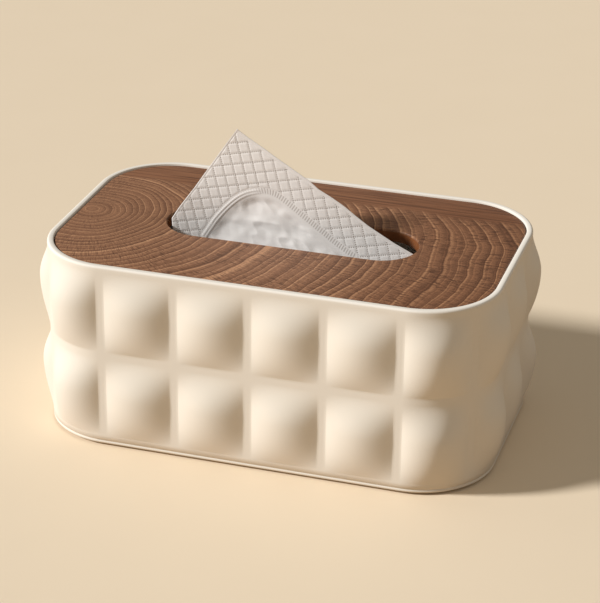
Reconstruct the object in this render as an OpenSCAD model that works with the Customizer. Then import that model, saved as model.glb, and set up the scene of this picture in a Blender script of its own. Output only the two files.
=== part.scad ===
// Oblong tissue box holder: a moulded shell whose wall is two rows of soft pillows, a wooden
// lid with a long slot let into its rim, and a folded stack whose top sheet stands in the slot.
// The table is at z = 0, the length runs along X and the front faces -Y.

/* [Shell] */
// Length of the rim's outline
body_l = 216; // [190:1:260]
// Width of the rim's outline
body_w = 133; // [120:1:170]
// Height of the moulded shell, from its underside to its rim
body_h = 91; // [80:1:120]
// Radius of the four upright corners
corner_r = 36; // [26:1:44]
// Thickness of the wall at the rim and in the valleys
wall_t = 3; // [2:0.25:5]
// Thickness of the floor
floor_t = 3; // [2:0.25:6]
// Rounding along the outer edge of the rim
rim_round = 1.2; // [0.6:0.1:1.6]
// Rounding along the outer edge of the base
base_round = 1; // [0.5:0.1:1.6]

/* [Pillows] */
// Pillows in one row all the way round
pillow_cols = 18; // [10:2:26]
// Rows of pillows
pillow_rows = 2; // [1:1:3]
// How far a pillow stands out from the valleys
pillow_depth = 4.9; // [1:0.1:7]
// Width of the flat band between two pillows of a row
valley_w = 4; // [1:0.25:6]
// Height of the band between two rows
valley_h = 3.6; // [1:0.25:8]
// Plain band between the rim and the upper row
rim_band = 2.8; // [1.8:0.1:8]
// Plain band between the base and the lower row
base_band = 4.6; // [2:0.1:12]
// Place of a pillow's fullest line, from 0 at its middle to 1 at its top
crown_lift = 0.1; // [-0.4:0.05:0.4]
// How softly a pillow's upper half runs out into the band above it
upper_soft = 1.9; // [1:0.1:3]
// How softly a pillow's sides run out into the bands beside it
side_soft = 1.1; // [1:0.1:3]

/* [Lid] */
// Thickness of the wooden lid
lid_t = 6; // [4:0.5:10]
// How far the lid lies below the rim
lid_recess = 0.6; // [0:0.1:3]
// Gap all round between the lid and the shell
lid_gap = 0.5; // [0.2:0.05:1]
// Rounding along the lid's upper edges
lid_edge = 0.8; // [0.3:0.1:1.5]
// Length of the slot
slot_l = 122; // [90:1:140]
// Width of the slot, and the diameter of its round ends
slot_w = 36; // [20:1:44]

/* [Ledge] */
// How far the lid's ledge stands in from the wall
ledge_w = 3; // [2:0.25:5]
// Height of the ledge's upright face
ledge_t = 2; // [1:0.25:4]

/* [Feet] */
// Diameter of a foot pad
foot_d = 12; // [8:0.5:20]
// How far a foot pad stands out below the shell
foot_proud = 1; // [0.5:0.1:3]
// Depth of the recess that holds a foot pad
foot_recess = 1; // [0.5:0.1:1.5]
// Play round a foot pad in its recess
foot_gap = 0.1; // [0.05:0.05:0.3]
// Distance from a foot pad's middle to the ends and sides of the rim's outline
foot_inset = 24; // [18:1:34]

/* [Tissues] */
// Room between the folded stack and the wall at each end
stack_end_room = 10; // [9:0.5:24]
// Room between the folded stack and the wall at the front and the back
stack_side_room = 15; // [12:0.5:24]
// Height of the folded stack
stack_h = 54; // [20:1:66]
// Folds that show one above the other along each long side of the stack
stack_folds = 18; // [6:1:30]
// Depth of the rounding of each fold
fold_depth = 1; // [0.5:0.1:2]
// Thickness of the quilted sheet
sheet_t = 0.8; // [0.5:0.1:1.2]
// Height of the standing corner above the lid
peak_h = 49; // [30:1:56]
// Place of the standing corner along the length
peak_x = -26.3; // [-40:0.1:0]
// Slope of the sheet's long upper edge, in degrees
peak_turn = 32.8; // [28:0.1:40]
// How far the standing corner leans to the front, in degrees
peak_lean = 2; // [0:1:12]
// Gap between the sheet's sides and the ends of the slot
sheet_gap = 0.7; // [0.4:0.1:3]
// How far the sheet's fold stays in from the back edge of the stack
tail_back_inset = 2.5; // [1.5:0.5:18]
// How far the sheet's fold stays in from the front edge of the stack
tail_front_inset = 4.5; // [1.5:0.5:18]

/* [Hidden] */
$fn = 96;
eps = 0.01;
cut_past = 1;
quarter_turn = 90;
pillow_steps = 8;
round_steps = 3;
fold_turn = 45;

// Heights above the table
base_z = foot_proud;
floor_z = base_z + floor_t;
rim_z = base_z + body_h;
lid_top_z = rim_z - lid_recess;
ledge_z = lid_top_z - lid_t;
stack_top_z = floor_z + stack_h;

// Outlines that fit inside each other
bore_l = body_l - 2 * wall_t;
bore_w = body_w - 2 * wall_t;
bore_r = corner_r - wall_t;
throat_l = bore_l - 2 * ledge_w;
throat_w = bore_w - 2 * ledge_w;
throat_r = bore_r - ledge_w;
lid_l = bore_l - 2 * lid_gap;
lid_w = bore_w - 2 * lid_gap;
lid_r = bore_r - lid_gap;
stack_l = bore_l - 2 * stack_end_room;
stack_w = bore_w - 2 * stack_side_room;
sheet_half = slot_l / 2 - sheet_gap;
spread_half = stack_l / 2 - sheet_t;
sheet_foot_z = stack_top_z + sheet_t / 2;
peak_z = lid_top_z + peak_h;
left_drop = (peak_x + sheet_half) * cos(peak_lean) / tan(peak_turn);
right_drop = (sheet_half - peak_x) * cos(peak_lean) * tan(peak_turn);
foot_x = body_l / 2 - foot_inset;
foot_y = body_w / 2 - foot_inset;

// The rim's outline, measured along its length from the middle of the front
half_front = body_l / 2 - corner_r;
half_side = body_w / 2 - corner_r;
arc_l = PI / 2 * corner_r;
quarter_l = half_front + arc_l + half_side;
pillow_pitch = 4 * quarter_l / pillow_cols;
row_h = (body_h - rim_band - base_band - (pillow_rows - 1) * valley_h) / pillow_rows;

// Place and outward direction [x, y, nx, ny] on the first quarter, from the front to the right
function quarter_point(s) =
    s < half_front ? [s, -body_w / 2, 0, -1] :
    s < half_front + arc_l ?
        let (a = quarter_turn * ((s - half_front) / arc_l - 1))
        [half_front + corner_r * cos(a), -half_side + corner_r * sin(a), cos(a), sin(a)] :
    [body_l / 2, s - half_front - arc_l - half_side, 1, 0];

// The same on the whole outline: each quarter mirrors the one before it
function outline_point(s) =
    let (turn = floor(s / quarter_l),
         rest = s - turn * quarter_l,
         odd = turn % 2 == 1,
         p = quarter_point(odd ? quarter_l - rest : rest),
         sx = turn == 2 || turn == 3 ? -1 : 1,
         sy = turn == 1 || turn == 2 ? -1 : 1)
    [sx * p[0], sy * p[1], sx * p[2], sy * p[3]];

// Swell of a pillow, from 0 at its edge to 1 at its crown, at t from -1 to 1
function side_swell(t) = pow(1 - t * t, side_soft);
function height_swell(t) =
    t < crown_lift ? 1 - pow((crown_lift - t) / (1 + crown_lift), 2) :
    pow(1 - pow((t - crown_lift) / (1 - crown_lift), 2), upper_soft);

// Places up a pillow, from -1 to 1, as many below its crown as above
function height_place(i) =
    let (u = 2 * i / pillow_steps)
    u < 1 ? -1 + u * (1 + crown_lift) : crown_lift + (u - 1) * (1 - crown_lift);

// Stations round the outline, each [place along it, swell]
stations = [
    for (col = [0 : pillow_cols - 1], i = [0 : pillow_steps])
        let (t = 2 * i / pillow_steps - 1)
        [(col + 0.5) * pillow_pitch + t * (pillow_pitch - valley_w) / 2, side_swell(t)]];

// Rings up the wall, each [height above the underside, distance out, swell]
rings = concat(
    [for (i = [0 : round_steps])
        let (a = quarter_turn * i / round_steps)
        [base_round * (1 - cos(a)), -base_round * (1 - sin(a)), 0]],
    [for (row = [0 : pillow_rows - 1], i = [0 : pillow_steps])
        let (t = height_place(i))
        [base_band + row * (row_h + valley_h) + (t + 1) / 2 * row_h, 0, height_swell(t)]],
    [for (i = [0 : round_steps])
        let (a = quarter_turn * i / round_steps)
        [body_h - rim_round * (1 - sin(a)), -rim_round * (1 - cos(a)), 0]]);

// A closed solid whose side is a grid of rings by stations
module pillowed_solid() {
    n = len(stations);
    places = [for (st = stations) outline_point(st[0])];
    points = [
        for (ring = rings, j = [0 : n - 1])
            let (out = ring[1] + pillow_depth * ring[2] * stations[j][1], p = places[j])
            [p[0] + out * p[2], p[1] + out * p[3], base_z + ring[0]]];
    sides = [
        for (k = [0 : len(rings) - 2], j = [0 : n - 1])
            let (a = k * n + j, b = k * n + (j + 1) % n)
            each [[a, a + n, b], [b, a + n, b + n]]];
    last = (len(rings) - 1) * n;
    middles = [[0, 0, base_z], [0, 0, rim_z]];
    underside = [for (j = [0 : n - 1]) [len(points), j, (j + 1) % n]];
    top = [for (j = [0 : n - 1]) [len(points) + 1, last + (j + 1) % n, last + j]];
    polyhedron(concat(points, middles), concat(sides, underside, top), convexity = 6);
}

// A rectangle with round corners, centred, or a stadium where w is twice r
module rounded_plate(l, w, r) {
    square([l - 2 * r, w], center = true);
    if (w > 2 * r) square([l, w - 2 * r], center = true);
    for (x = [-1, 1], y = [-1, 1])
        translate([x * (l / 2 - r), y * (w / 2 - r)]) circle(r);
}

// A profile swept round a rectangle with round corners: x runs outward from the outline
module swept_round(l, w, r) {
    straight_l = l - 2 * r;
    straight_w = w - 2 * r;
    for (x = [-1, 1], y = [-1, 1])
        translate([x * straight_l / 2, y * straight_w / 2, 0])
            rotate(x > 0 ? min(y, 0) * quarter_turn : (3 - y) / 2 * quarter_turn)
                rotate_extrude(angle = quarter_turn) translate([r, 0]) children();
    for (side = [0, 1]) {
        rotate(side * 2 * quarter_turn) translate([straight_l / 2, -w / 2, 0])
            rotate([quarter_turn, 0, -quarter_turn]) linear_extrude(straight_l)
                children();
        if (straight_w > 0)
            rotate(side * 2 * quarter_turn) translate([l / 2, straight_w / 2, 0])
                rotate([quarter_turn, 0, 0]) linear_extrude(straight_w) children();
    }
}

// What a quarter round takes off an upright edge, with the edge's corner at the origin
module edge_round(r) {
    polygon(concat(
        [[eps, -r], [eps, eps], [-r, eps]],
        [for (i = [0 : round_steps])
            let (a = quarter_turn * i / round_steps)
            [-r * (1 - sin(a)), -r * (1 - cos(a))]]));
}

module shell_hollow() {
    chamfer_z = ledge_z - ledge_t - ledge_w;
    translate([0, 0, floor_z])
        linear_extrude(chamfer_z - floor_z) rounded_plate(bore_l, bore_w, bore_r);
    translate([0, 0, floor_z])
        linear_extrude(body_h) rounded_plate(throat_l, throat_w, throat_r);
    translate([0, 0, chamfer_z])
        swept_round(throat_l, throat_w, throat_r)
            polygon([[-eps, -eps], [ledge_w, -eps], [ledge_w, 0], [0, ledge_w], [-eps, ledge_w]]);
    translate([0, 0, ledge_z])
        linear_extrude(body_h) rounded_plate(bore_l, bore_w, bore_r);
}

module foot_places() {
    for (x = [-1, 1], y = [-1, 1])
        translate([x * foot_x, y * foot_y, 0]) children();
}

module shell() {
    color("antiquewhite")
        difference() {
            pillowed_solid();
            shell_hollow();
            foot_places()
                translate([0, 0, base_z - cut_past])
                    cylinder(h = foot_recess + cut_past, d = foot_d + 2 * foot_gap);
        }
}

module lid() {
    color("saddlebrown")
        difference() {
            translate([0, 0, ledge_z]) linear_extrude(lid_t) rounded_plate(lid_l, lid_w, lid_r);
            translate([0, 0, ledge_z - cut_past])
                linear_extrude(lid_t + 2 * cut_past) rounded_plate(slot_l, slot_w, slot_w / 2);
            translate([0, 0, lid_top_z]) swept_round(lid_l, lid_w, lid_r) edge_round(lid_edge);
            translate([0, 0, lid_top_z])
                swept_round(slot_l, slot_w, slot_w / 2) mirror([1, 0]) edge_round(lid_edge);
        }
}

// The folded edges of the stack bulge along its two long sides
module stack_section() {
    fold_h = stack_h / stack_folds;
    flat_y = stack_w / 2 - fold_depth;
    edge = [
        for (i = [0 : stack_folds - 1], a = [-quarter_turn : fold_turn : quarter_turn - fold_turn])
            [flat_y + fold_depth * cos(a), (i + (1 + sin(a)) / 2) * fold_h]];
    n = len(edge);
    back = concat(edge, [[flat_y, stack_h]]);
    front = [for (i = [n : -1 : 0]) [-back[i][0], back[i][1]]];
    polygon(concat(back, front));
}

module tissue_stack() {
    color("white")
        translate([-stack_l / 2, 0, floor_z])
            rotate([quarter_turn, 0, quarter_turn]) linear_extrude(stack_l) stack_section();
}

// The sheet seen from the front: its right-angled corner stands over the slot, as wide as the
// slot lets it, and the rest spreads out below the lid
module sheet_outline() {
    polygon([[peak_x, peak_z],
             [-sheet_half, max(ledge_z + eps, peak_z - left_drop)], [-sheet_half, ledge_z],
             [-spread_half, sheet_foot_z], [spread_half, sheet_foot_z],
             [sheet_half, ledge_z], [sheet_half, max(ledge_z + eps, peak_z - right_drop)]]);
}

// The sheet seen from the side: upright as far as the lid's top, then leaning to the front
module sheet_section() {
    rise = peak_h + cut_past;
    lean_y = rise * tan(peak_lean);
    half_t = sheet_t / 2;
    polygon([[-half_t, stack_top_z], [half_t, stack_top_z], [half_t, lid_top_z],
             [half_t - lean_y, lid_top_z + rise], [-half_t - lean_y, lid_top_z + rise],
             [-half_t, lid_top_z]]);
}

module tissue_sheet() {
    tail_w = stack_w - tail_front_inset - tail_back_inset;
    color("whitesmoke") {
        intersection() {
            rotate([quarter_turn, 0, quarter_turn])
                linear_extrude(stack_l, center = true) sheet_section();
            rotate([quarter_turn, 0, 0]) linear_extrude(stack_w, center = true) sheet_outline();
        }
        translate([-stack_l / 2, tail_front_inset - stack_w / 2, stack_top_z])
            cube([stack_l, tail_w, sheet_t]);
    }
}

module foot() {
    color("dimgray")
        cylinder(h = foot_proud + foot_recess, d = foot_d);
}
module foot_front_left() {
    translate([-foot_x, -foot_y, 0]) foot();
}
module foot_front_right() {
    translate([foot_x, -foot_y, 0]) foot();
}
module foot_back_left() {
    translate([-foot_x, foot_y, 0]) foot();
}
module foot_back_right() {
    translate([foot_x, foot_y, 0]) foot();
}

shell();
lid();
tissue_stack();
tissue_sheet();
foot_front_left();
foot_front_right();
foot_back_left();
foot_back_right();
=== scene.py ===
"""Looks for a tissue box holder: pillowed shell, walnut lid, folded tissues and a standing sheet."""
import math

import bmesh
import bpy
import numpy as np
from mathutils import Matrix, Vector


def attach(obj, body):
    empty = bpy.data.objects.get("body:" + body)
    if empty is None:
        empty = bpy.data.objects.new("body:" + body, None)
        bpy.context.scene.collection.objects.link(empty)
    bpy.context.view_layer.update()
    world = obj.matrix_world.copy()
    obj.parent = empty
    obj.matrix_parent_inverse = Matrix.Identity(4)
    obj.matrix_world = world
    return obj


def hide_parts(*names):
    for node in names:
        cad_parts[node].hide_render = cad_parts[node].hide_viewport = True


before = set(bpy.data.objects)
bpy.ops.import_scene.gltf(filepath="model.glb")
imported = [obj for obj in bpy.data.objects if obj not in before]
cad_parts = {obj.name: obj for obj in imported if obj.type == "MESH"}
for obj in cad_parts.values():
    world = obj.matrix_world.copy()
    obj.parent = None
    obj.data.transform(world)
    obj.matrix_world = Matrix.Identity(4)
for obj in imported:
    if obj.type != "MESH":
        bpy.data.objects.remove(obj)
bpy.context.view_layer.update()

MM = 0.001

# Sizes in millimetres, as in the part's source
BODY_L, BODY_W, BODY_H = 216.0, 133.0, 91.0
CORNER_R = 36.0
WALL_T, FLOOR_T = 3.0, 3.0
RIM_ROUND, BASE_ROUND = 1.2, 1.0
PILLOW_COLS, PILLOW_ROWS = 18, 2
PILLOW_DEPTH = 4.9
VALLEY_W, VALLEY_H = 4.0, 3.6
RIM_BAND, BASE_BAND = 2.8, 4.6
CROWN_LIFT = 0.1
UPPER_SOFT, SIDE_SOFT = 1.9, 1.1
LID_T, LID_RECESS, LID_GAP, LID_EDGE = 6.0, 0.6, 0.5, 0.8
SLOT_L, SLOT_W = 122.0, 36.0
LEDGE_W, LEDGE_T = 3.0, 2.0
FOOT_D, FOOT_PROUD, FOOT_RECESS, FOOT_GAP, FOOT_INSET = 12.0, 1.0, 1.0, 0.1, 24.0
STACK_L, STACK_W, STACK_H, STACK_FOLDS = 190.0, 97.0, 54.0, 18
CAMERA_AT = np.array([282.28, -912.06, 506.46])

BASE_Z = FOOT_PROUD
FLOOR_Z = BASE_Z + FLOOR_T
RIM_Z = BASE_Z + BODY_H
LID_TOP_Z = RIM_Z - LID_RECESS
LEDGE_Z = LID_TOP_Z - LID_T
STACK_TOP_Z = FLOOR_Z + STACK_H

HALF_FRONT = BODY_L / 2 - CORNER_R
HALF_SIDE = BODY_W / 2 - CORNER_R
ARC_L = math.pi / 2 * CORNER_R
QUARTER_L = HALF_FRONT + ARC_L + HALF_SIDE
PILLOW_PITCH = 4 * QUARTER_L / PILLOW_COLS
ROW_H = (BODY_H - RIM_BAND - BASE_BAND - (PILLOW_ROWS - 1) * VALLEY_H) / PILLOW_ROWS


# ---- Mesh helpers ----

def add_piece(name, points, faces, material, smooth=True):
    """A mesh object from points in millimetres."""
    mesh = bpy.data.meshes.new(name)
    mesh.from_pydata((np.asarray(points, float) * MM).tolist(), [], faces)
    mesh.polygons.foreach_set("use_smooth", [smooth] * len(mesh.polygons))
    mesh.materials.append(material)
    mesh.update()
    piece = bpy.data.objects.new(name, mesh)
    bpy.context.scene.collection.objects.link(piece)
    return piece


def ring_faces(rings, count, first=0):
    """Quads between closed rings of count points each, numbered from first."""
    faces = []
    for k in range(rings - 1):
        for j in range(count):
            a = first + k * count + j
            b = first + k * count + (j + 1) % count
            faces.append((a, b, b + count, a + count))
    return faces


def fill_between(points, loops):
    """Triangles over the flat area between closed loops of point numbers, all of one height."""
    flat = bmesh.new()
    edges = []
    number = {}
    for loop in loops:
        verts = [flat.verts.new((points[i][0], points[i][1], 0)) for i in loop]
        for vert, i in zip(verts, loop):
            number[vert] = i
        for k, vert in enumerate(verts):
            edges.append(flat.edges.new((vert, verts[(k + 1) % len(verts)])))
    bmesh.ops.triangle_fill(flat, use_beauty=True, edges=edges)
    faces = [tuple(number[v] for v in face.verts) for face in flat.faces]
    flat.free()
    return faces


def face_way(points, faces, up):
    """The same flat faces, all turned to look up or down."""
    turned = []
    for face in faces:
        a, b, c = (np.asarray(points[i][:2]) for i in face[:3])
        area = (b[0] - a[0]) * (c[1] - a[1]) - (b[1] - a[1]) * (c[0] - a[0])
        turned.append(face if (area > 0) == up else face[::-1])
    return turned


def quarter_point(s):
    """Place and outward direction on the outline's first quarter, from the front to the right."""
    if s < HALF_FRONT:
        return s, -BODY_W / 2, 0.0, -1.0
    if s < HALF_FRONT + ARC_L:
        a = math.pi / 2 * ((s - HALF_FRONT) / ARC_L - 1)
        return (HALF_FRONT + CORNER_R * math.cos(a), -HALF_SIDE + CORNER_R * math.sin(a),
                math.cos(a), math.sin(a))
    return BODY_L / 2, s - HALF_FRONT - ARC_L - HALF_SIDE, 1.0, 0.0


def outline_point(s):
    """The same on the whole outline: each quarter mirrors the one before it."""
    turn = int(s // QUARTER_L) % 4
    rest = s - (s // QUARTER_L) * QUARTER_L
    x, y, nx, ny = quarter_point(QUARTER_L - rest if turn % 2 else rest)
    sx = -1 if turn in (2, 3) else 1
    sy = -1 if turn in (1, 2) else 1
    return sx * x, sy * y, sx * nx, sy * ny


def side_swell(t):
    """How far a pillow stands out across its width, with t from -1 to 1."""
    return max(0.0, 1 - t * t) ** SIDE_SOFT


def height_swell(t):
    """How far a pillow stands out up its height; its crown lies a little above the middle."""
    if t < CROWN_LIFT:
        return 1 - ((CROWN_LIFT - t) / (1 + CROWN_LIFT)) ** 2
    return max(0.0, 1 - ((t - CROWN_LIFT) / (1 - CROWN_LIFT)) ** 2) ** UPPER_SOFT


def eased(steps):
    """Places from -1 to 1, closer together towards both ends."""
    return [math.sin(math.pi / 2 * (2 * i / steps - 1)) for i in range(steps + 1)]


# ---- Shell ----

COL_STEPS, ROW_STEPS, VALLEY_STEPS, ROUND_STEPS = 28, 32, 3, 6
EDGE = 0.15
FLOOR_FILLET, FILLET_MIDDLE = 1.5, 0.4
RECESS_POINTS = 48
# A fine line runs round the shell just above its base: height above the underside, and depth
BASE_LINE = [(1.45, 0.0), (1.6, -0.3), (1.9, -0.3), (2.05, 0.0)]


def shell_stations():
    """Places round the outline, each with its swell."""
    stations = []
    for col in range(PILLOW_COLS):
        middle = (col + 0.5) * PILLOW_PITCH
        half = (PILLOW_PITCH - VALLEY_W) / 2
        stations += [(middle + t * half, side_swell(t)) for t in eased(COL_STEPS)]
        stations += [(middle + half + VALLEY_W * i / VALLEY_STEPS, 0.0)
                     for i in range(1, VALLEY_STEPS)]
    return stations


def shell_rings():
    """Rings from the underside up the wall, over the rim and down inside: height, out, swell."""
    rings = []
    for i in range(ROUND_STEPS + 1):
        a = math.pi / 2 * i / ROUND_STEPS
        rings.append((BASE_Z + BASE_ROUND * (1 - math.cos(a)), -BASE_ROUND * (1 - math.sin(a)), 0))
    rings += [(BASE_Z + height, out, 0) for height, out in BASE_LINE]
    for row in range(PILLOW_ROWS):
        low = BASE_Z + BASE_BAND + row * (ROW_H + VALLEY_H)
        rings += [(low + (t + 1) / 2 * ROW_H, 0, height_swell(t)) for t in eased(ROW_STEPS)]
        if row < PILLOW_ROWS - 1:
            rings += [(low + ROW_H + VALLEY_H * i / VALLEY_STEPS, 0, 0)
                      for i in range(1, VALLEY_STEPS)]
    for i in range(ROUND_STEPS + 1):
        a = math.pi / 2 * i / ROUND_STEPS
        rings.append((RIM_Z - RIM_ROUND * (1 - math.sin(a)), -RIM_ROUND * (1 - math.cos(a)), 0))
    ledge_in = WALL_T + LEDGE_W
    inside = [
        (RIM_Z, WALL_T - 2 * EDGE), (RIM_Z - EDGE, WALL_T - EDGE / 2), (RIM_Z - 2 * EDGE, WALL_T),
        (LEDGE_Z + EDGE, WALL_T), (LEDGE_Z, WALL_T + EDGE),
        (LEDGE_Z, ledge_in - EDGE), (LEDGE_Z - EDGE, ledge_in),
        (LEDGE_Z - LEDGE_T, ledge_in), (LEDGE_Z - LEDGE_T - EDGE, ledge_in - EDGE),
        (LEDGE_Z - LEDGE_T - LEDGE_W + EDGE, WALL_T + EDGE),
        (LEDGE_Z - LEDGE_T - LEDGE_W - EDGE, WALL_T),
        (FLOOR_Z + FLOOR_FILLET, WALL_T), (FLOOR_Z + FILLET_MIDDLE, WALL_T + FILLET_MIDDLE),
        (FLOOR_Z, WALL_T + FLOOR_FILLET)]
    rings += [(height, -inset, 0) for height, inset in inside]
    return rings


def circle_points(x, y, z, r, count):
    """Points of a level circle."""
    return [(x + r * math.cos(2 * math.pi * k / count), y + r * math.sin(2 * math.pi * k / count), z)
            for k in range(count)]


def build_shell(material):
    """The pillowed wall with its rim, ledge, floor and four recesses under the floor."""
    places = [(*outline_point(s), swell) for s, swell in shell_stations()]
    rings = shell_rings()
    count = len(places)
    points = []
    for height, out, swell in rings:
        for x, y, nx, ny, side in places:
            d = out + PILLOW_DEPTH * swell * side
            points.append((x + d * nx, y + d * ny, height))
    faces = ring_faces(len(rings), count)
    last = (len(rings) - 1) * count
    faces.append(tuple(range(last, last + count)))
    loops = [list(range(count))]
    recess_r = FOOT_D / 2 + FOOT_GAP
    for sx in (-1, 1):
        for sy in (-1, 1):
            x = sx * (BODY_L / 2 - FOOT_INSET)
            y = sy * (BODY_W / 2 - FOOT_INSET)
            low = len(points)
            points += circle_points(x, y, BASE_Z, recess_r, RECESS_POINTS)
            points += circle_points(x, y, BASE_Z + FOOT_RECESS, recess_r, RECESS_POINTS)
            loops.append(list(range(low, low + RECESS_POINTS)))
            faces += [f[::-1] for f in ring_faces(2, RECESS_POINTS, low)]
            faces.append(tuple(reversed(range(low + RECESS_POINTS, low + 2 * RECESS_POINTS))))
    faces += face_way(points, fill_between(points, loops), False)
    piece = add_piece("shell_wall", points, faces, material)
    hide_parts("shell")
    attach(piece, "box")


# ---- Lid ----

LID_POINTS, SLOT_POINTS = 480, 200


def plate_outline(half_x, half_y, r, count):
    """Evenly spaced places and outward directions round a rectangle with round corners."""
    flat_x = half_x - r
    flat_y = half_y - r
    arc = math.pi / 2 * r
    quarter = flat_x + arc + flat_y
    found = []
    for k in range(count):
        s = 4 * quarter * k / count
        turn = int(s // quarter) % 4
        rest = s - turn * quarter
        rest = quarter - rest if turn % 2 else rest
        if rest < flat_x:
            x, y, nx, ny = rest, -half_y, 0.0, -1.0
        elif rest < flat_x + arc:
            a = math.pi / 2 * ((rest - flat_x) / arc - 1)
            nx, ny = math.cos(a), math.sin(a)
            x, y = flat_x + r * nx, -flat_y + r * ny
        else:
            x, y, nx, ny = half_x, rest - flat_x - arc - flat_y, 1.0, 0.0
        sx = -1 if turn in (2, 3) else 1
        sy = -1 if turn in (1, 2) else 1
        found.append((sx * x, sy * y, sx * nx, sy * ny))
    return found


def edge_rings(inward):
    """Rings of an upright edge, lower edge first: height and how far it goes into the plate."""
    rings = [(LEDGE_Z, 2 * EDGE), (LEDGE_Z + EDGE, EDGE / 2), (LEDGE_Z + 2 * EDGE, 0)]
    for i in range(ROUND_STEPS + 1):
        a = math.pi / 2 * i / ROUND_STEPS
        rings.append((LID_TOP_Z - LID_EDGE * (1 - math.sin(a)), LID_EDGE * (1 - math.cos(a))))
    return [(height, inward * into) for height, into in rings]


def build_lid(material):
    """A flat board with rounded edges, and a slot with round ends through it."""
    inset = WALL_T + LID_GAP
    outer = plate_outline(BODY_L / 2 - inset, BODY_W / 2 - inset, CORNER_R - inset, LID_POINTS)
    slot = plate_outline(SLOT_L / 2, SLOT_W / 2, SLOT_W / 2, SLOT_POINTS)
    points = []
    faces = []
    lows = []
    tops = []
    for outline, inward in ((outer, -1), (slot, 1)):
        low = len(points)
        count = len(outline)
        rings = edge_rings(inward)
        for height, out in rings:
            points += [(x + out * nx, y + out * ny, height) for x, y, nx, ny in outline]
        sides = ring_faces(len(rings), count, low)
        faces += sides if inward < 0 else [f[::-1] for f in sides]
        lows.append(list(range(low, low + count)))
        high = low + (len(rings) - 1) * count
        tops.append(list(range(high, high + count)))
    faces += face_way(points, fill_between(points, lows), False)
    faces += face_way(points, fill_between(points, tops), True)
    piece = add_piece("walnut_lid", points, faces, material)
    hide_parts("lid")
    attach(piece, "lid")


# ---- Tissues ----

SHEET_COLS = 250
SHEET_T = 0.35
# Places traced on a plane that leans to the front: height up the plane, place along the length
TRACE_LEAN = math.radians(10.0)
LEFT_EDGE = [(-1.0, -60.0), (5.7, -55.8), (12.3, -51.2), (18.2, -47.0), (25.2, -42.4),
             (31.5, -38.2), (39.0, -33.2), (45.2, -29.1), (52.3, -24.3), (53.0, -23.8)]
RIGHT_EDGE = [(-4.2, 60.4), (-2.6, 57.6), (1.5, 49.7), (5.7, 43.0), (9.4, 37.2), (14.0, 31.3),
              (18.2, 26.3), (22.3, 20.1), (25.7, 14.2), (29.8, 9.7), (33.2, 4.7), (36.9, -0.8),
              (40.8, -6.6), (44.7, -12.0), (49.0, -18.7), (52.3, -23.2), (53.0, -23.7)]
# The arch's line, place along the length first, and which of its points is the turn at its top
ARCH = [(-44.5, -8.7), (-41.6, -4.0), (-38.2, 1.6), (-34.5, 6.5), (-28.7, 13.2), (-22.8, 18.2),
        (-15.3, 21.1), (-8.7, 21.1), (-3.7, 18.2), (1.7, 13.6), (7.2, 9.0), (15.5, 2.3),
        (23.0, -4.0), (30.5, -9.0)]
ARCH_TURN = 6
# Quilting: slopes of its two sets of seams, their spacings, and where two of them cross
QUILT_RISE, QUILT_LEAN = 0.246, -0.175
QUILT_ROW, QUILT_COL = 5.7, 5.2
QUILT_ROW_AT, QUILT_COL_AT = 39.0, -28.2
# Heights of the embossing, where the two lines of piping lie beside the arch, and their width
PUFF_H, PIPING_H, HEM_H = 0.15, 0.30, 0.12
PIPING_OUT, PIPING_IN, PIPING_W = -0.3, 1.1, 0.4
GROOVE_AT, GROOVE_W = 0.4, 0.35
# Creases under the arch: height, size and seed of the broad, the sharp and the fine ones
BROAD, SHARP, FINE = (0.95, 13.0, 3), (0.55, 7.0, 4), (0.22, 3.4, 5)
LATTICE, LATTICE_SHIFT = 64, 200.0


def smooth_step(low, high, value):
    t = np.clip((value - low) / (high - low), 0, 1)
    return t * t * (3 - 2 * t)


def value_noise(x, y, size, seed):
    """Smooth noise from -1 to 1 with features about size across."""
    lattice = np.random.default_rng(seed).uniform(-1, 1, (LATTICE, LATTICE))
    u, v = np.asarray(x) / size + LATTICE_SHIFT, np.asarray(y) / size + LATTICE_SHIFT
    i, j = np.floor(u).astype(int), np.floor(v).astype(int)
    a, b = u - i, v - j
    a, b = a * a * (3 - 2 * a), b * b * (3 - 2 * b)
    i0, i1, j0, j1 = i % LATTICE, (i + 1) % LATTICE, j % LATTICE, (j + 1) % LATTICE
    low = lattice[i0, j0] * (1 - a) + lattice[i1, j0] * a
    high = lattice[i0, j1] * (1 - a) + lattice[i1, j1] * a
    return low * (1 - b) + high * b


def line_distance(x, h, line):
    """Distance from each point to a line of points, and how far along the line it is."""
    best = np.full(np.shape(x), 1e9)
    along = np.zeros(np.shape(x))
    start = 0.0
    for (x0, h0), (x1, h1) in zip(line, line[1:]):
        dx, dh = x1 - x0, h1 - h0
        length = math.hypot(dx, dh)
        t = np.clip(((x - x0) * dx + (h - h0) * dh) / length ** 2, 0, 1)
        d = np.hypot(x - x0 - t * dx, h - h0 - t * dh)
        along = np.where(d < best, start + t * length, along)
        best = np.minimum(best, d)
        start += length
    return best, along


def smooth_line(line, rounds=3):
    """The line with its corners cut, which rounds it."""
    for _ in range(rounds):
        cut = [line[0]]
        for (x0, h0), (x1, h1) in zip(line, line[1:]):
            cut.append((0.75 * x0 + 0.25 * x1, 0.75 * h0 + 0.25 * h1))
            cut.append((0.25 * x0 + 0.75 * x1, 0.25 * h0 + 0.75 * h1))
        cut.append(line[-1])
        line = cut
    return line


ARCH_LINE = smooth_line(ARCH)


def under_arch(x, h):
    """1 where the point is below the arch line."""
    xs, hs = zip(*ARCH_LINE)
    nowhere = -99.0
    return (h < np.interp(x, xs, hs, left=nowhere, right=nowhere)).astype(float)


def edge_distance(x, h, edge):
    """Distance from each point to one of the sheet's traced edges."""
    return line_distance(x, h, [(at, height) for height, at in edge])[0]


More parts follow.
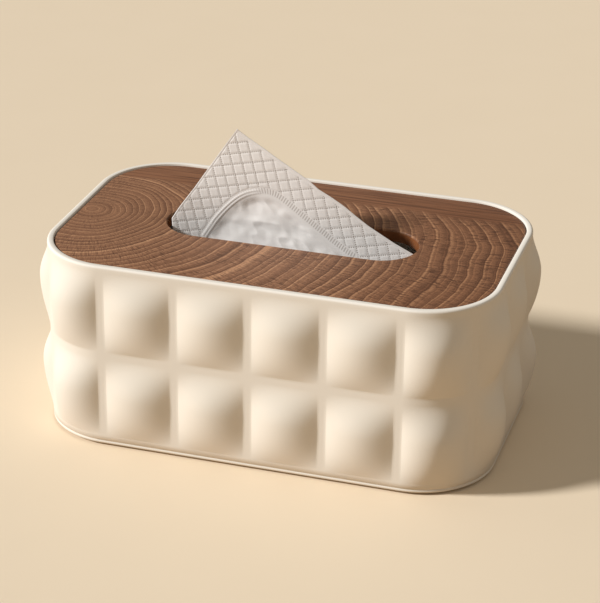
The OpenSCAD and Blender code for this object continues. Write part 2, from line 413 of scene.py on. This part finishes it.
def sheet_marks(x, h):
    """Embossing over the sheet: its height in millimetres, where it is quilted, grooved and
    stitched, and the place along and beside the arch's line."""
    row = (h - QUILT_ROW_AT - QUILT_RISE * (x - QUILT_COL_AT)) / QUILT_ROW
    col = (x - QUILT_COL_AT - QUILT_LEAN * (h - QUILT_ROW_AT)) / QUILT_COL
    row_d = np.abs(row - np.round(row)) * QUILT_ROW
    col_d = np.abs(col - np.round(col)) * QUILT_COL
    puff = PUFF_H * smooth_step(0.1, 1.0, row_d) * smooth_step(0.1, 1.0, col_d)
    distance, along = line_distance(x, h, ARCH_LINE)
    inside = under_arch(x, h)
    signed = np.where(inside > 0, distance, -distance)
    turn_at = line_distance(np.array([ARCH[ARCH_TURN][0]]), np.array([ARCH[ARCH_TURN][1]]),
                            ARCH_LINE)[1][0]
    piped = 1 - smooth_step(turn_at - 3, turn_at + 3, along)
    piping = PIPING_H * (np.exp(-((signed - PIPING_OUT) / PIPING_W) ** 2)
                         + np.exp(-((signed - PIPING_IN) / PIPING_W) ** 2))
    band = smooth_step(-1.8, -1.4, signed) * (1 - smooth_step(1.2, 1.6, signed))
    plain = np.maximum(inside, smooth_step(-2.4, -1.8, signed) * (distance < 3))
    left_d = edge_distance(x, h, LEFT_EDGE)
    right_d = edge_distance(x, h, RIGHT_EDGE)
    quilted = (1 - plain) * smooth_step(0.7, 1.4, left_d) * smooth_step(1.3, 2.2, right_d)
    hem = HEM_H * (1 - smooth_step(0.4, 1.0, left_d)) + HEM_H * (1 - smooth_step(0.4, 1.0, right_d))
    crumple = (BROAD[0] * value_noise(x, h, *BROAD[1:])
               - SHARP[0] * np.abs(value_noise(x + 0.6 * h, h, *SHARP[1:]))
               + FINE[0] * value_noise(x, h, *FINE[1:]))
    deep = smooth_step(1.2, 7.0, signed)
    height = puff * quilted + hem + piping * piped + crumple * deep
    grooves = piped * np.exp(-((signed - GROOVE_AT) / GROOVE_W) ** 2)
    return height, quilted, grooves, band * (1 - 0.6 * piped), np.stack([along, signed], -1)


# The standing sheet's bend: bow up its height, right end to the back, left end to the front, waves
BOW, BOW_AT, BOW_HALF_H = 1.8, 25, 38
RIGHT_BACK, RIGHT_REACH = 4.2, 60
LEFT_FRONT, LEFT_FROM, LEFT_REACH, LEFT_POWER = -6.0, -18, 42, 1.6
WAVE, WAVE_SIZE, WAVE_SEED = 0.5, 24.0, 8
SHEET_FORWARD = 1.0


def sheet_depth(x, h):
    """How far back the standing sheet lies: its right end falls away, its left end comes forward."""
    upright = BOW * (1 - ((h - BOW_AT) / BOW_HALF_H) ** 2)
    right = RIGHT_BACK * (np.maximum(x, 0) / RIGHT_REACH) ** 2
    left = LEFT_FRONT * (np.maximum(LEFT_FROM - x, 0) / LEFT_REACH) ** LEFT_POWER
    left = left * (1 - smooth_step(10, 45, h))
    return upright + right + left + WAVE * value_noise(x, h, WAVE_SIZE, WAVE_SEED) - SHEET_FORWARD


# Lowest traced row, and the rows of the standing part, the neck, the bend and the folded tail
SHEET_LOW, SHEET_TOP = -13.0, 53.0
STAND_ROWS, NECK_ROWS, BEND_ROWS, TAIL_ROWS, TURN_ROWS = 156, 12, 6, 5, 4
# Radii of the bend on to the stack and of the turn back under the tail
BEND_R, TURN_R = 2.4, 0.2
TAIL_TOP = STACK_TOP_Z + 0.62
TAIL_BACK, TAIL_FRONT = 45.0, -43.0
TAIL_HALF = 93.0
SLOT_ROOM = 0.8


def standing_rows(u):
    """Rows of the part that stands in the slot, and the traced places of their points."""
    rows = []
    places = []
    for h in np.linspace(SHEET_TOP, SHEET_LOW, STAND_ROWS + 1):
        left = np.interp(h, *zip(*LEFT_EDGE))
        right = np.interp(h, *zip(*RIGHT_EDGE))
        x = left + (right - left) * (u + 1) / 2
        hs = h * np.ones_like(u)
        flat = np.stack([x, -hs * math.sin(TRACE_LEAN), LID_TOP_Z + hs * math.cos(TRACE_LEAN)], 1)
        depth = sheet_depth(x, hs)
        sight = (depth - CAMERA_AT[1]) / (flat[:, 1] - CAMERA_AT[1])
        row = CAMERA_AT + (flat - CAMERA_AT) * sight[:, None]
        reach = (SLOT_L - SLOT_W) / 2 + np.sqrt((SLOT_W / 2) ** 2 - row[:, 1] ** 2) - SLOT_ROOM
        row[:, 0] = np.clip(row[:, 0], -reach, reach)
        rows.append(row)
        places.append(np.stack([x, hs], 1))
    return rows, places


def folded_rows(last, u):
    """Rows from the slot down to the stack, over it to the back and folded under to the front."""
    ones = np.ones_like(u)
    rows = []
    for t in np.linspace(0, 1, NECK_ROWS + 1)[1:]:
        spread = smooth_step(0.1, 1.0, t)
        x = last[:, 0] * (1 - spread) + TAIL_HALF * u * spread
        y = last[:, 1] * (1 - smooth_step(0.0, 1.0, t))
        y = y + 1.4 * math.sin(math.pi * t) ** 2 * value_noise(x, 30 * t * ones, 16.0, 9)
        rows.append(np.stack([x, y, last[:, 2] + (TAIL_TOP + BEND_R - last[:, 2]) * t], 1))
    for a in np.linspace(0, math.pi / 2, BEND_ROWS + 1)[1:]:
        rows.append(np.stack([TAIL_HALF * u, BEND_R * (1 - math.cos(a)) * ones,
                              (TAIL_TOP + BEND_R * (1 - math.sin(a))) * ones], 1))
    for t in np.linspace(0, 1, TAIL_ROWS + 1)[1:]:
        y = BEND_R + (TAIL_BACK - BEND_R) * t
        rows.append(np.stack([TAIL_HALF * u, y * ones, TAIL_TOP * ones], 1))
    for a in np.linspace(0, math.pi, TURN_ROWS + 1)[1:]:
        rows.append(np.stack([TAIL_HALF * u, (TAIL_BACK + TURN_R * math.sin(a)) * ones,
                              (TAIL_TOP - TURN_R * (1 - math.cos(a))) * ones], 1))
    for t in np.linspace(0, 1, TAIL_ROWS + 1)[1:]:
        y = TAIL_BACK + (TAIL_FRONT - TAIL_BACK) * t
        rows.append(np.stack([TAIL_HALF * u, y * ones, (TAIL_TOP - 2 * TURN_R) * ones], 1))
    return rows


def grid_normals(grid):
    """Directions square to a grid of points."""
    along = np.gradient(grid, axis=0)
    across = np.gradient(grid, axis=1)
    normal = np.cross(across, along)
    return normal / np.maximum(np.linalg.norm(normal, axis=2, keepdims=True), 1e-9)


def add_marks(piece, layers, marks):
    """Stores places on the sheet and how strong each kind of mark is there, for the paint, which
    darkens the marks with painted shade and presses them in with its bump.
    """
    mesh = piece.data
    corners = np.zeros(len(mesh.loops), int)
    mesh.loops.foreach_get("vertex_index", corners)
    for name, places in layers.items():
        both = np.tile(places.reshape(-1, 2), (2, 1))
        mesh.uv_layers.new(name=name).data.foreach_set("uv", (both[corners] * MM).ravel())
    for name, values in marks.items():
        both = np.tile(values.reshape(-1), 2)
        mesh.attributes.new(name, "FLOAT", "POINT").data.foreach_set("value", both)


def build_sheet(material):
    """One closed sheet: the standing part, the neck, and the tail folded over the stack."""
    u = np.linspace(-1, 1, SHEET_COLS + 1)
    stand, places = standing_rows(u)
    grid = np.array(stand + folded_rows(stand[-1], u))
    places = np.array(places + [places[-1]] * (len(grid) - len(places)))
    height, quilted, grooved, stitched, beside = sheet_marks(places[..., 0], places[..., 1])
    fade = smooth_step(SHEET_LOW, SHEET_LOW + 3.0, places[..., 1])
    grid = grid - grid_normals(grid) * (height * fade)[..., None]
    normal = grid_normals(grid) * SHEET_T / 2
    front = grid + normal
    back = grid - normal
    rows, cols = grid.shape[:2]
    points = np.concatenate([front.reshape(-1, 3), back.reshape(-1, 3)])
    half = rows * cols
    faces = []
    for i in range(rows - 1):
        for j in range(cols - 1):
            a = i * cols + j
            faces.append((a, a + cols, a + cols + 1, a + 1))
            faces.append((half + a, half + a + 1, half + a + cols + 1, half + a + cols))
    border = [j for j in range(cols)]
    border += [i * cols + cols - 1 for i in range(1, rows)]
    border += [(rows - 1) * cols + j for j in range(cols - 2, -1, -1)]
    border += [i * cols for i in range(rows - 2, 0, -1)]
    for k, a in enumerate(border):
        b = border[(k + 1) % len(border)]
        faces.append((a, b, half + b, half + a))
    piece = add_piece("standing_tissue", points, faces, material)
    add_marks(piece, {"sheet": places, "arch": beside},
              {"quilted": quilted * fade, "grooved": grooved * fade, "stitched": stitched * fade})
    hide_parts("tissue_sheet")
    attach(piece, "box")


def build_stack(material):
    """Folded tissues, one above the other, whose folds show along the two long sides."""
    fold_h = STACK_H / STACK_FOLDS
    arc_steps = 8
    length_steps = 60
    uneven = 0.5
    inset = 0.6
    xs = np.linspace(-STACK_L / 2, STACK_L / 2, length_steps + 1)
    points = []
    faces = []
    for fold in range(STACK_FOLDS):
        low = len(points)
        for x in xs:
            ring = []
            for side in (1, -1):
                jitter = uneven * float(value_noise(x, fold * 7.3 * side, 30.0, 21))
                reach = STACK_W / 2 - inset + jitter
                for k in range(arc_steps + 1):
                    a = -math.pi / 2 + math.pi * k / arc_steps
                    y = reach - fold_h / 2 + fold_h / 2 * math.cos(a)
                    z = FLOOR_Z + (fold + 0.5 + 0.49 * math.sin(a)) * fold_h
                    ring.append((x, side * y, z))
                if side == 1:
                    upper = ring
                    ring = []
            points += upper + ring[::-1]
        count = 2 * (arc_steps + 1)
        faces += [f[::-1] for f in ring_faces(length_steps + 1, count, low)]
        last = low + length_steps * count
        faces.append(tuple(range(low, low + count)))
        faces.append(tuple(reversed(range(last, last + count))))
    piece = add_piece("tissue_pack", points, faces, material)
    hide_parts("tissue_stack")
    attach(piece, "box")


# ---- Materials ----

class Paint:
    """A procedural material, whose nodes are added by short calls."""

    def __init__(self, name, color, roughness, **settings):
        self.material = bpy.data.materials.new(name)
        self.material.use_nodes = True
        self.tree = self.material.node_tree
        self.shader = self.tree.nodes["Principled BSDF"]
        self.shader.inputs["Base Color"].default_value = (*color, 1)
        self.shader.inputs["Roughness"].default_value = roughness
        for key, value in settings.items():
            self.shader.inputs[key.replace("_", " ")].default_value = value
        coordinates = self.tree.nodes.new("ShaderNodeTexCoord").outputs["Object"]
        self.place = self.vector("SCALE", coordinates, scale=1 / MM)

    def put(self, socket, value):
        """Links the value to the socket, or sets it there if it is a plain one."""
        if isinstance(value, bpy.types.NodeSocket):
            self.tree.links.new(value, socket)
        else:
            socket.default_value = value

    def math(self, operation, a, b=0.0, c=0.0):
        node = self.tree.nodes.new("ShaderNodeMath")
        node.operation = operation
        for socket, value in zip(node.inputs, (a, b, c)):
            self.put(socket, value)
        return node.outputs[0]

    def vector(self, operation, a, scale=1.0):
        node = self.tree.nodes.new("ShaderNodeVectorMath")
        node.operation = operation
        self.put(node.inputs[0], a)
        if operation == "SCALE":
            node.inputs["Scale"].default_value = scale
        return node.outputs["Value"] if operation == "LENGTH" else node.outputs[0]

    def split(self, vector):
        node = self.tree.nodes.new("ShaderNodeSeparateXYZ")
        self.put(node.inputs[0], vector)
        return node.outputs[0], node.outputs[1], node.outputs[2]

    def join(self, x, y, z=0.0):
        node = self.tree.nodes.new("ShaderNodeCombineXYZ")
        for socket, value in zip(node.inputs, (x, y, z)):
            self.put(socket, value)
        return node.outputs[0]

    def noise(self, vector, scale, detail=2.0, roughness=0.5, distortion=0.0):
        node = self.tree.nodes.new("ShaderNodeTexNoise")
        self.put(node.inputs["Vector"], vector)
        node.inputs["Scale"].default_value = scale
        node.inputs["Detail"].default_value = detail
        node.inputs["Roughness"].default_value = roughness
        node.inputs["Distortion"].default_value = distortion
        return node.outputs[0]

    def noise_line(self, value, scale, detail=1.0):
        node = self.tree.nodes.new("ShaderNodeTexNoise")
        node.noise_dimensions = "1D"
        self.put(node.inputs["W"], value)
        node.inputs["Scale"].default_value = scale
        node.inputs["Detail"].default_value = detail
        return node.outputs[0]

    def step(self, value, low, high):
        """0 at low, 1 at high, smooth between them; low may be the larger."""
        node = self.tree.nodes.new("ShaderNodeMapRange")
        node.interpolation_type = "SMOOTHSTEP"
        self.put(node.inputs["Value"], value)
        node.inputs["From Min"].default_value = low
        node.inputs["From Max"].default_value = high
        return node.outputs[0]

    def ramp(self, value, stops):
        node = self.tree.nodes.new("ShaderNodeValToRGB")
        ramp = node.color_ramp
        while len(ramp.elements) < len(stops):
            ramp.elements.new(1.0)
        for element, (position, color) in zip(ramp.elements, stops):
            element.position = position
            element.color = (*color, 1)
        self.put(node.inputs[0], value)
        return node.outputs[0]

    def mix(self, factor, a, b, blend="MIX"):
        node = self.tree.nodes.new("ShaderNodeMix")
        node.data_type = "RGBA"
        node.blend_type = blend
        for k, value in ((0, factor), (6, a), (7, b)):
            if isinstance(value, tuple):
                value = (*value, 1)
            self.put(node.inputs[k], value)
        return node.outputs[2]

    def color(self, value):
        self.put(self.shader.inputs["Base Color"], value)

    def attribute(self, name):
        """A value stored at the mesh's points."""
        node = self.tree.nodes.new("ShaderNodeAttribute")
        node.attribute_name = name
        return node.outputs["Fac"]

    def layer(self, name):
        """Places stored in a layer of the mesh, in millimetres."""
        node = self.tree.nodes.new("ShaderNodeUVMap")
        node.uv_map = name
        return self.vector("SCALE", node.outputs[0], scale=1 / MM)

    def rough(self, value):
        self.put(self.shader.inputs["Roughness"], value)

    def bump(self, height, distance, strength=1.0):
        node = self.tree.nodes.new("ShaderNodeBump")
        node.inputs["Strength"].default_value = strength
        node.inputs["Distance"].default_value = distance * MM
        self.put(node.inputs["Height"], height)
        self.tree.links.new(node.outputs[0], self.shader.inputs["Normal"])


def shell_paint():
    """Matt moulded cream, with a painted highlight that makes it lighter along the rim, a fine grain
    and faint unevenness.
    """
    paint = Paint("shell", (0.88, 0.83, 0.74), 0.67, Specular_IOR_Level=0.25)
    cloud = paint.noise(paint.place, 0.035, 3.0)
    color = paint.mix(cloud, (0.865, 0.815, 0.725), (0.890, 0.845, 0.760))
    # Painted highlight: the top of the rim is painted a lighter cream than the rest of the shell.
    rim_highlight = paint.step(paint.split(paint.place)[2], RIM_Z - RIM_ROUND, RIM_Z - 0.3)
    paint.color(paint.mix(rim_highlight, color, (0.955, 0.915, 0.845)))
    grain = paint.noise(paint.place, 2.6, 3.0, 0.6)
    paint.rough(paint.math("MULTIPLY_ADD", grain, 0.10, 0.62))
    paint.bump(grain, 0.05, 0.35)
    return paint.material


# Growth rings: the heart of the tree, how far the rings drift and bend, and how many there are
HEART_X, HEART_Y = -99.4, -8.0
RING_DRIFT, DRIFT_FROM = 0.08, 3.0
BACK_BEND, BEND_REACH = 0.0047, 165.0
RINGS, RING_GROWTH = 52.0, 150.0
WIDE_WARP, FINE_WARP = 8.0, 0.6
# A band of straight grain lies along the back of the lid, between these places
BAND_FROM, BAND_TO = 40.0, 45.0


def ring_radius(paint, x, y, wide, fine):
    """Distance from the heart of the tree, whose rings drift to the front as they grow and bend
    in towards it at the back."""
    dx = paint.math("ADD", x, -HEART_X)
    first = paint.vector("LENGTH", paint.join(dx, paint.math("ADD", y, -HEART_Y)))
    dy = paint.math("ADD", y, paint.math("MULTIPLY_ADD", first, RING_DRIFT, DRIFT_FROM))
    radius = paint.vector("LENGTH", paint.join(dx, dy))
    angle = paint.math("ARCTAN2", dy, paint.math("ADD", dx, 0.01))
    behind = paint.math("MULTIPLY", paint.math("MAXIMUM", y, 0.0), BACK_BEND)
    behind = paint.math("MULTIPLY", behind, paint.math("MAXIMUM", y, 0.0))
    away = paint.math("DIVIDE", dx, BEND_REACH)
    bent = paint.math("ADD", radius, paint.math("MULTIPLY", behind, away))
    warp = paint.math("MULTIPLY_ADD", wide, WIDE_WARP, -WIDE_WARP / 2)
    warped = paint.math("ADD", bent, warp)
    warp = paint.math("MULTIPLY_ADD", fine, FINE_WARP, -FINE_WARP / 2)
    warped = paint.math("ADD", warped, warp)
    return radius, angle, paint.math("MAXIMUM", warped, 0.0)


def ring_lines(paint, years, stops, seed):
    """Colour over one ring, and how clearly each ring shows."""
    clear = paint.noise_line(paint.math("ADD", paint.math("FLOOR", years), seed), 3.7)
    return paint.ramp(paint.math("FRACT", years), stops), paint.step(clear, 0.25, 0.60)


def wood_paint():
    """Dark walnut cut across the grain: light growth rings round a heart near the left end, with
    painted shade towards the right end and on the faces below the top edge.
    """
    paint = Paint("walnut", (0.403, 0.232, 0.139), 0.45, IOR=1.42)
    x, y, z = paint.split(paint.place)
    wide = paint.noise(paint.place, 0.030, 2.0)
    fine = paint.noise(paint.place, 0.16, 3.0)
    radius, angle, warped = ring_radius(paint, x, y, wide, fine)
    grown = paint.math("MULTIPLY_ADD", warped, 1 / RING_GROWTH, 1.0)
    years = paint.math("MULTIPLY", paint.math("LOGARITHM", grown, math.e), RINGS)
    years = paint.math("ADD", years, paint.math("MULTIPLY", paint.noise_line(years, 0.55), 1.3))
    light, mid, dark = (0.66, 0.360, 0.200), (0.390, 0.195, 0.105), (0.130, 0.055, 0.028)
    rings, clear = ring_lines(paint, years, [
        (0.00, (0.40, 0.205, 0.11)), (0.04, light), (0.10, light), (0.17, mid),
        (0.55, (0.330, 0.160, 0.086)), (0.82, (0.225, 0.103, 0.054)), (0.97, dark),
        (1.00, (0.30, 0.15, 0.08))], 0.5)
    between = paint.mix(paint.noise(paint.place, 0.05, 2.0), (0.270, 0.127, 0.068),
                        (0.410, 0.205, 0.110))
    color = paint.mix(paint.math("MULTIPLY_ADD", clear, 0.70, 0.25), between, rings)
    finer, shown = ring_lines(paint, paint.math("MULTIPLY_ADD", years, 2.0, 0.37), [
        (0.00, (0.62, 0.62, 0.62)), (0.08, (0.80, 0.80, 0.80)), (0.20, (0.50, 0.50, 0.50)),
        (0.80, (0.44, 0.44, 0.44)), (1.00, (0.34, 0.34, 0.34))], 9.5)
    color = paint.mix(paint.math("MULTIPLY", shown, 0.55), color, finer, "OVERLAY")
    rays = paint.noise(paint.join(paint.math("MULTIPLY", radius, 0.17),
                                  paint.math("MULTIPLY", angle, 150.0)), 1.0, 5.0, 0.72)
    hatched = paint.step(paint.noise(paint.place, 0.055, 2.0), 0.30, 0.60)
    hatched = paint.math("MULTIPLY_ADD", hatched, 0.62, 0.30)
    color = paint.mix(paint.math("MULTIPLY", paint.step(rays, 0.49, 0.60), hatched), color,
                      (0.095, 0.039, 0.021))
    color = paint.mix(paint.math("MULTIPLY", paint.step(rays, 0.45, 0.34), 0.45), color,
                      (0.54, 0.285, 0.160))
    pores = paint.noise(paint.place, 1.3, 3.0, 0.7)
    color = paint.mix(paint.math("MULTIPLY", paint.step(pores, 0.54, 0.68), 0.55), color,
                      (0.100, 0.045, 0.026))
    color = paint.mix(paint.math("MULTIPLY", paint.step(pores, 0.48, 0.30), 0.30), color,
                      (0.50, 0.260, 0.140))
    along = paint.noise(paint.join(paint.math("MULTIPLY", x, 0.012),
                                   paint.math("MULTIPLY", y, 0.55)), 1.0, 4.0, 0.6, 0.3)
    band_color = paint.ramp(along, [
        (0.30, (0.110, 0.047, 0.025)), (0.45, (0.220, 0.096, 0.048)),
        (0.55, (0.330, 0.150, 0.076)), (0.70, (0.160, 0.069, 0.035))])
    edge = paint.math("ADD", y, paint.math("MULTIPLY_ADD", wide, 10.0, -5.0))
    edge = paint.math("ADD", edge, paint.math("MULTIPLY", fine, 2.0))
    color = paint.mix(paint.step(edge, BAND_FROM, BAND_TO), color, band_color)
    # Painted shade: the wood grows darker and warmer towards the lid's right end, away from the key
    # light.
    color = paint.mix(paint.math("MULTIPLY", paint.step(x, 10.0, 80.0), 0.80), color,
                      (0.74, 0.67, 0.60), "MULTIPLY")
    # Painted shade: below the rounded top edge, the slot's wall, the board's outer edge and its
    # underside are painted dark brown.
    wall_shade = paint.step(z, LID_TOP_Z - LID_EDGE, LID_TOP_Z - LID_EDGE - 0.6)
    color = paint.mix(paint.math("MULTIPLY", wall_shade, 0.92), color, (0.22, 0.072, 0.018))
    paint.color(color)
    height = paint.math("ADD", paint.math("MULTIPLY", pores, -0.6), paint.math("MULTIPLY", rays, -0.5))
    paint.rough(paint.math("MULTIPLY_ADD", pores, 0.22, 0.42))
    paint.bump(height, 0.12, 0.5)
    return paint.material


def seam_dots(paint, value, along, size):
    """Dots along lines, for their painted shade and their bump: value counts the lines, along is in
    millimetres, size is their spacing.
    """
    off = paint.math("ABSOLUTE", paint.math("SUBTRACT", value, paint.math("ROUND", value)))
    near = paint.step(paint.math("MULTIPLY", off, size), 0.45, 0.20)
    beat = paint.math("SINE", paint.math("MULTIPLY", along, 2 * math.pi / 1.1))
    return paint.math("MULTIPLY", near, paint.step(beat, -0.3, 0.3))


def tissue_paint():
    """Soft white paper: fibres, with a line of fine dots pressed in along each quilting seam; painted
    shade darkens these dots, the stitch slits and the groove beside the arch.
    """
    paint = Paint("tissue", (0.86, 0.86, 0.87), 0.85, Sheen_Weight=0.15, Sheen_Roughness=0.6)
    fibres = paint.noise(paint.place, 1.6, 5.0, 0.7, 0.6)
    cloud = paint.noise(paint.place, 0.08, 2.0)
    color = paint.mix(cloud, (0.950, 0.940, 0.935), (0.970, 0.960, 0.955))
    color = paint.mix(paint.math("MULTIPLY", paint.step(fibres, 0.5, 0.75), 0.22), color,
                      (0.86, 0.835, 0.815))
    x, h, _ = paint.split(paint.layer("sheet"))
    from_x = paint.math("SUBTRACT", x, QUILT_COL_AT)
    from_h = paint.math("SUBTRACT", h, QUILT_ROW_AT)
    row = paint.math("SUBTRACT", from_h, paint.math("MULTIPLY", from_x, QUILT_RISE))
    col = paint.math("SUBTRACT", from_x, paint.math("MULTIPLY", from_h, QUILT_LEAN))
    row_dots = seam_dots(paint, paint.math("DIVIDE", row, QUILT_ROW), x, QUILT_ROW)
    col_dots = seam_dots(paint, paint.math("DIVIDE", col, QUILT_COL), h, QUILT_COL)
    dots = paint.math("MULTIPLY", paint.math("MAXIMUM", row_dots, col_dots),
                      paint.attribute("quilted"))
    along, beside, _ = paint.split(paint.layer("arch"))
    slant = paint.math("MULTIPLY_ADD", beside, -0.15, along)
    stroke = paint.step(paint.math("SINE", paint.math("MULTIPLY", slant, 2 * math.pi / 1.3)), -0.2, 0.5)
    stroke = paint.math("MULTIPLY", stroke, paint.attribute("stitched"))
    # Painted shade: the pits of the seam dots, the slits between the stitches and the groove beside the
    # arch are painted dark; the same marks also press the bump in.
    marks = paint.math("MAXIMUM", dots, paint.math("MULTIPLY", stroke, 0.60))
    marks = paint.math("MAXIMUM", marks, paint.math("MULTIPLY", paint.attribute("grooved"), 0.5))
    color = paint.mix(paint.math("MULTIPLY", marks, 0.80), color, (0.34, 0.30, 0.27))
    paint.color(color)
    paint.bump(paint.math("SUBTRACT", paint.math("MULTIPLY", fibres, 0.6), marks), 0.12, 0.6)
    return paint.material


def foot_paint():
    """Dark rubber with a fine grain."""
    paint = Paint("foot", (0.12, 0.11, 0.10), 0.75)
    grain = paint.noise(paint.place, 3.0, 3.0)
    paint.color(paint.mix(grain, (0.085, 0.078, 0.072), (0.145, 0.135, 0.125)))
    paint.bump(grain, 0.05, 0.5)
    return paint.material


# ---- Stage ----

FLOOR_HALF = 12000.0
LENS, SENSOR = 132.506, 36.0
CAMERA_RIGHT = (0.95510804, 0.2960827, 0.01018167)
CAMERA_UP = (-0.13525049, 0.40520059, 0.90416801)
CAMERA_BACK = (0.26358289, -0.86495521, 0.42705567)


def build_floor():
    """A plain floor: pale to the camera, and warmer and darker in the light it throws back."""
    paint = Paint("floor", (0.88, 0.79, 0.68), 0.7)
    seen = paint.tree.nodes.new("ShaderNodeLightPath").outputs["Is Camera Ray"]
    pale = paint.mix(paint.noise(paint.place, 0.02, 2.0), (0.94, 0.80, 0.61), (0.96, 0.82, 0.63))
    paint.color(paint.mix(seen, (0.60, 0.42, 0.24), pale))
    points = [(sx * FLOOR_HALF, sy * FLOOR_HALF, 0) for sx, sy in ((-1, -1), (1, -1), (1, 1), (-1, 1))]
    floor = add_piece("floor", points, [(0, 1, 2, 3)], paint.material, smooth=False)


def add_sun(name, turn, height, energy, softness, color):
    """A lamp whose light travels at turn degrees from +X towards +Y and falls by height degrees."""
    sun = bpy.data.lights.new(name, "SUN")
    sun.energy = energy
    sun.angle = math.radians(softness)
    sun.color = color
    lamp = bpy.data.objects.new(name, sun)
    bpy.context.scene.collection.objects.link(lamp)
    across = math.radians(turn)
    falls = Vector((math.cos(across), math.sin(across), -math.tan(math.radians(height))))
    lamp.rotation_euler = falls.to_track_quat("-Z", "Y").to_euler()


def build_lights():
    """Studio light: a low key from the left, a weak broad fill from the right and a warm surround."""
    add_sun("key", 26, 30, 3.55, 8, (0.985, 0.965, 0.94))
    add_sun("fill", 197, 22, 0.17, 70, (1.0, 0.90, 0.77))
    world = bpy.data.worlds.new("world")
    world.use_nodes = True
    background = world.node_tree.nodes["Background"]
    background.inputs["Color"].default_value = (1.0, 0.91, 0.78, 1)
    background.inputs["Strength"].default_value = 0.24
    bpy.context.scene.world = world


def build_camera():
    """The photograph's view: the picture is 603 pixels along its longer side."""
    lens = bpy.data.cameras.new("camera")
    lens.sensor_width = SENSOR
    lens.lens = LENS
    lens.clip_start = 0.05
    lens.clip_end = 20.0
    camera = bpy.data.objects.new("camera", lens)
    bpy.context.scene.collection.objects.link(camera)
    matrix = Matrix([CAMERA_RIGHT, CAMERA_UP, CAMERA_BACK]).transposed().to_4x4()
    matrix.translation = Vector(CAMERA_AT * MM)
    camera.matrix_world = matrix
    bpy.context.scene.camera = camera


build_camera()
build_lights()
build_floor()
build_shell(shell_paint())
build_lid(wood_paint())
tissue = tissue_paint()
build_sheet(tissue)
build_stack(tissue)
rubber = foot_paint()
for name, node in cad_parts.items():
    if name.startswith("foot"):
        node.data.materials.clear()
        node.data.materials.append(rubber)
bpy.context.scene.view_settings.view_transform = "Standard"
